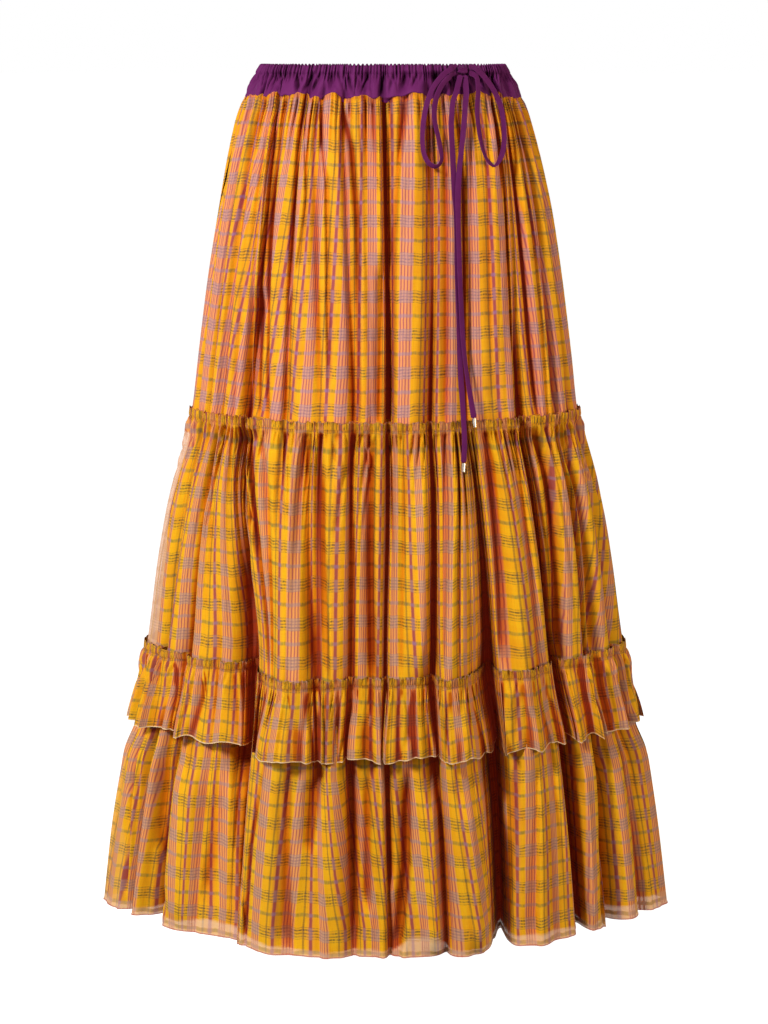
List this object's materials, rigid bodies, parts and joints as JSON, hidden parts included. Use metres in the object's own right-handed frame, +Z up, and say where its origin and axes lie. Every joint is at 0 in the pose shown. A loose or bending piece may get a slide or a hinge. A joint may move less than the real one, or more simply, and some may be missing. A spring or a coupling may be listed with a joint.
{
  "type": "tiered ruffle skirt",
  "caption": "Hollow, worn-form checked maxi skirt with gathered tiers, an overlaid ruffle, a lining and a gathered waistband tied with a drawstring bow.",
  "frame": {"origin": "centre of the waist's top edge, where the wearer holds the skirt", "axes": "+Z up along the skirt's length, -Y to the front, +X towards the side that the bow is on"},
  "size_m": [0.5835, 0.4949, 0.874],
  "materials": {
    "checked_cloth": "light plain-woven cloth, matt, with a yarn-dyed check",
    "ruffle_cloth": "the same light checked cloth, with a rolled edge",
    "lining_cloth": "plain orange-yellow lining, matt",
    "plain_cloth": "plain purple cloth with a faint sheen",
    "drawstring_ribbon": "flat folded ribbon of the purple cloth",
    "metal_tips": "polished pale metal"
  },
  "bodies": {
    "root": {"waistband": "plain_cloth", "tier_1_front": "checked_cloth", "tier_1_back": "checked_cloth", "tier_2_front": "checked_cloth", "tier_2_back": "checked_cloth", "ruffle_front": "ruffle_cloth", "ruffle_back": "ruffle_cloth", "tier_3_front": "checked_cloth", "tier_3_back": "checked_cloth", "lining": "lining_cloth", "bow_knot": "drawstring_ribbon", "bow_loop_left": "drawstring_ribbon", "bow_loop_right": "drawstring_ribbon", "bow_tail_left": "drawstring_ribbon", "bow_tail_right": "drawstring_ribbon", "aglet_left": "metal_tips", "aglet_right": "metal_tips"}
  },
  "joints": []
}
